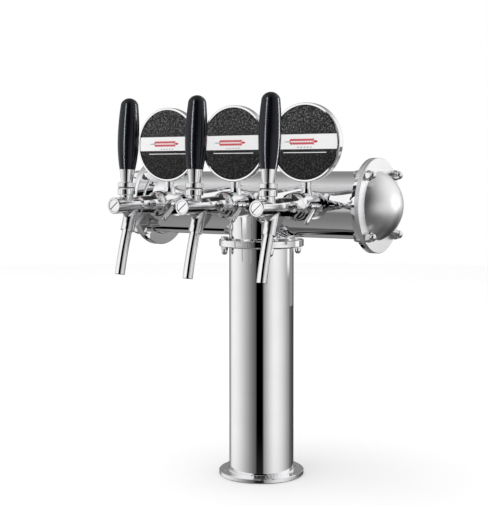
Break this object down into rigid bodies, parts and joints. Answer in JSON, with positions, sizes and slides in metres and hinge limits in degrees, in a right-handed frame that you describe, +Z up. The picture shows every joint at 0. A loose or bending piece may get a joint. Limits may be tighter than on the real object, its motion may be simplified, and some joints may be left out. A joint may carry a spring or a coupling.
{
  "type": "beer tap tower",
  "caption": "T-shaped polished steel draught tower on a bolted column, with ball-lever taps, side flow levers, bent spouts and round badges on short posts.",
  "frame": {"origin": "centre of the base flange's underside, which is also the centre of its bolt circle", "axes": "+Z up along the column, +X along the cross tube, the taps point along -Y"},
  "size_m": [0.359, 0.2115, 0.4401],
  "materials": {
    "tower_steel": "mirror-polished stainless steel",
    "tap_chrome": "bright chrome plate",
    "fastener_steel": "bright stainless steel",
    "plain_steel": "drawn steel tube",
    "black_handle": "gloss moulded",
    "badge_print": "printed disc under a clear coat",
    "gasket_rubber": "matt",
    "valve_plastic": "turned acetal"
  },
  "bodies": {
    "tower": {"badge_face_left": "badge_print", "badge_face_middle": "badge_print", "badge_face_right": "badge_print", "badge_housing_left": "tap_chrome", "badge_housing_middle": "tap_chrome", "badge_housing_right": "tap_chrome", "badge_stems": "tap_chrome", "base_flange": "tower_steel", "bonnets": "tap_chrome", "column_flange": "tower_steel", "column_tube": "tower_steel", "coupling_nuts": "tap_chrome", "cross_tube": "tower_steel", "end_bolts": "fastener_steel", "end_cap_left": "tower_steel", "end_cap_right": "tower_steel", "end_flange_left": "tower_steel", "end_flange_right": "tower_steel", "end_gaskets": "gasket_rubber", "end_nuts": "fastener_steel", "end_washers": "fastener_steel", "front_plugs": "tap_chrome", "gland_nuts": "tap_chrome", "neck_bolts": "fastener_steel", "neck_flange": "tower_steel", "neck_gasket": "gasket_rubber", "neck_nuts": "fastener_steel", "neck_tube": "tower_steel", "product_tubes": "plain_steel", "shank_collars": "tap_chrome", "shank_lock_nuts": "fastener_steel", "shanks": "fastener_steel", "side_plugs": "tap_chrome", "spout_left": "tap_chrome", "spout_middle": "tap_chrome", "spout_right": "tap_chrome", "tap_body_left": "tap_chrome", "tap_body_middle": "tap_chrome", "tap_body_right": "tap_chrome"},
    "lever_left_body": {"lever_left": "tap_chrome", "lever_ring_left": "tap_chrome", "ferrule_left": "tap_chrome", "handle_left": "black_handle"},
    "piston_left_body": {"piston_left": "plain_steel"},
    "flow_left_body": {"flow_lever_left": "tap_chrome"},
    "cone_left_body": {"flow_cone_left": "valve_plastic"},
    "lever_middle_body": {"lever_middle": "tap_chrome", "lever_ring_middle": "tap_chrome", "ferrule_middle": "tap_chrome", "handle_middle": "black_handle"},
    "piston_middle_body": {"piston_middle": "plain_steel"},
    "flow_middle_body": {"flow_lever_middle": "tap_chrome"},
    "cone_middle_body": {"flow_cone_middle": "valve_plastic"},
    "lever_right_body": {"lever_right": "tap_chrome", "lever_ring_right": "tap_chrome", "ferrule_right": "tap_chrome", "handle_right": "black_handle"},
    "piston_right_body": {"piston_right": "plain_steel"},
    "flow_right_body": {"flow_lever_right": "tap_chrome"},
    "cone_right_body": {"flow_cone_right": "valve_plastic"}
  },
  "joints": [
    {"name": "tap_lever_left", "type": "hinge", "parent": "tower", "child": "lever_left_body", "pos_m": [-0.0934, -0.136, 0.332], "axis": [1, 0, 0], "range_deg": [0, 30]},
    {"name": "piston_slide_left", "type": "slide", "parent": "tower", "child": "piston_left_body", "axis": [0, 1, 0], "range_m": [0, 0.0062]},
    {"name": "flow_turn_left", "type": "hinge", "parent": "tower", "child": "flow_left_body", "pos_m": [-0.0934, -0.077, 0.319], "axis": [1, 0, 0], "range_deg": [-90, 60]},
    {"name": "cone_slide_left", "type": "slide", "parent": "tower", "child": "cone_left_body", "axis": [0, 1, 0], "range_m": [-0.0016, 0.0024]},
    {"name": "tap_lever_middle", "type": "hinge", "parent": "tower", "child": "lever_middle_body", "pos_m": [0, -0.136, 0.332], "axis": [1, 0, 0], "range_deg": [0, 30]},
    {"name": "piston_slide_middle", "type": "slide", "parent": "tower", "child": "piston_middle_body", "axis": [0, 1, 0], "range_m": [0, 0.0062]},
    {"name": "flow_turn_middle", "type": "hinge", "parent": "tower", "child": "flow_middle_body", "pos_m": [0, -0.077, 0.319], "axis": [1, 0, 0], "range_deg": [-90, 60]},
    {"name": "cone_slide_middle", "type": "slide", "parent": "tower", "child": "cone_middle_body", "axis": [0, 1, 0], "range_m": [-0.0016, 0.0024]},
    {"name": "tap_lever_right", "type": "hinge", "parent": "tower", "child": "lever_right_body", "pos_m": [0.0934, -0.136, 0.332], "axis": [1, 0, 0], "range_deg": [0, 30]},
    {"name": "piston_slide_right", "type": "slide", "parent": "tower", "child": "piston_right_body", "axis": [0, 1, 0], "range_m": [0, 0.0062]},
    {"name": "flow_turn_right", "type": "hinge", "parent": "tower", "child": "flow_right_body", "pos_m": [0.0934, -0.077, 0.319], "axis": [1, 0, 0], "range_deg": [-90, 60]},
    {"name": "cone_slide_right", "type": "slide", "parent": "tower", "child": "cone_right_body", "axis": [0, 1, 0], "range_m": [-0.0016, 0.0024]}
  ],
  "couplings": [
    {"joint": "piston_slide_left", "follows": "tap_lever_left", "m_per_rad": 0.0116},
    {"joint": "cone_slide_left", "follows": "flow_turn_left", "m_per_rad": -0.0015},
    {"joint": "piston_slide_middle", "follows": "tap_lever_middle", "m_per_rad": 0.0116},
    {"joint": "cone_slide_middle", "follows": "flow_turn_middle", "m_per_rad": -0.0015},
    {"joint": "piston_slide_right", "follows": "tap_lever_right", "m_per_rad": 0.0116},
    {"joint": "cone_slide_right", "follows": "flow_turn_right", "m_per_rad": -0.0015}
  ]
}
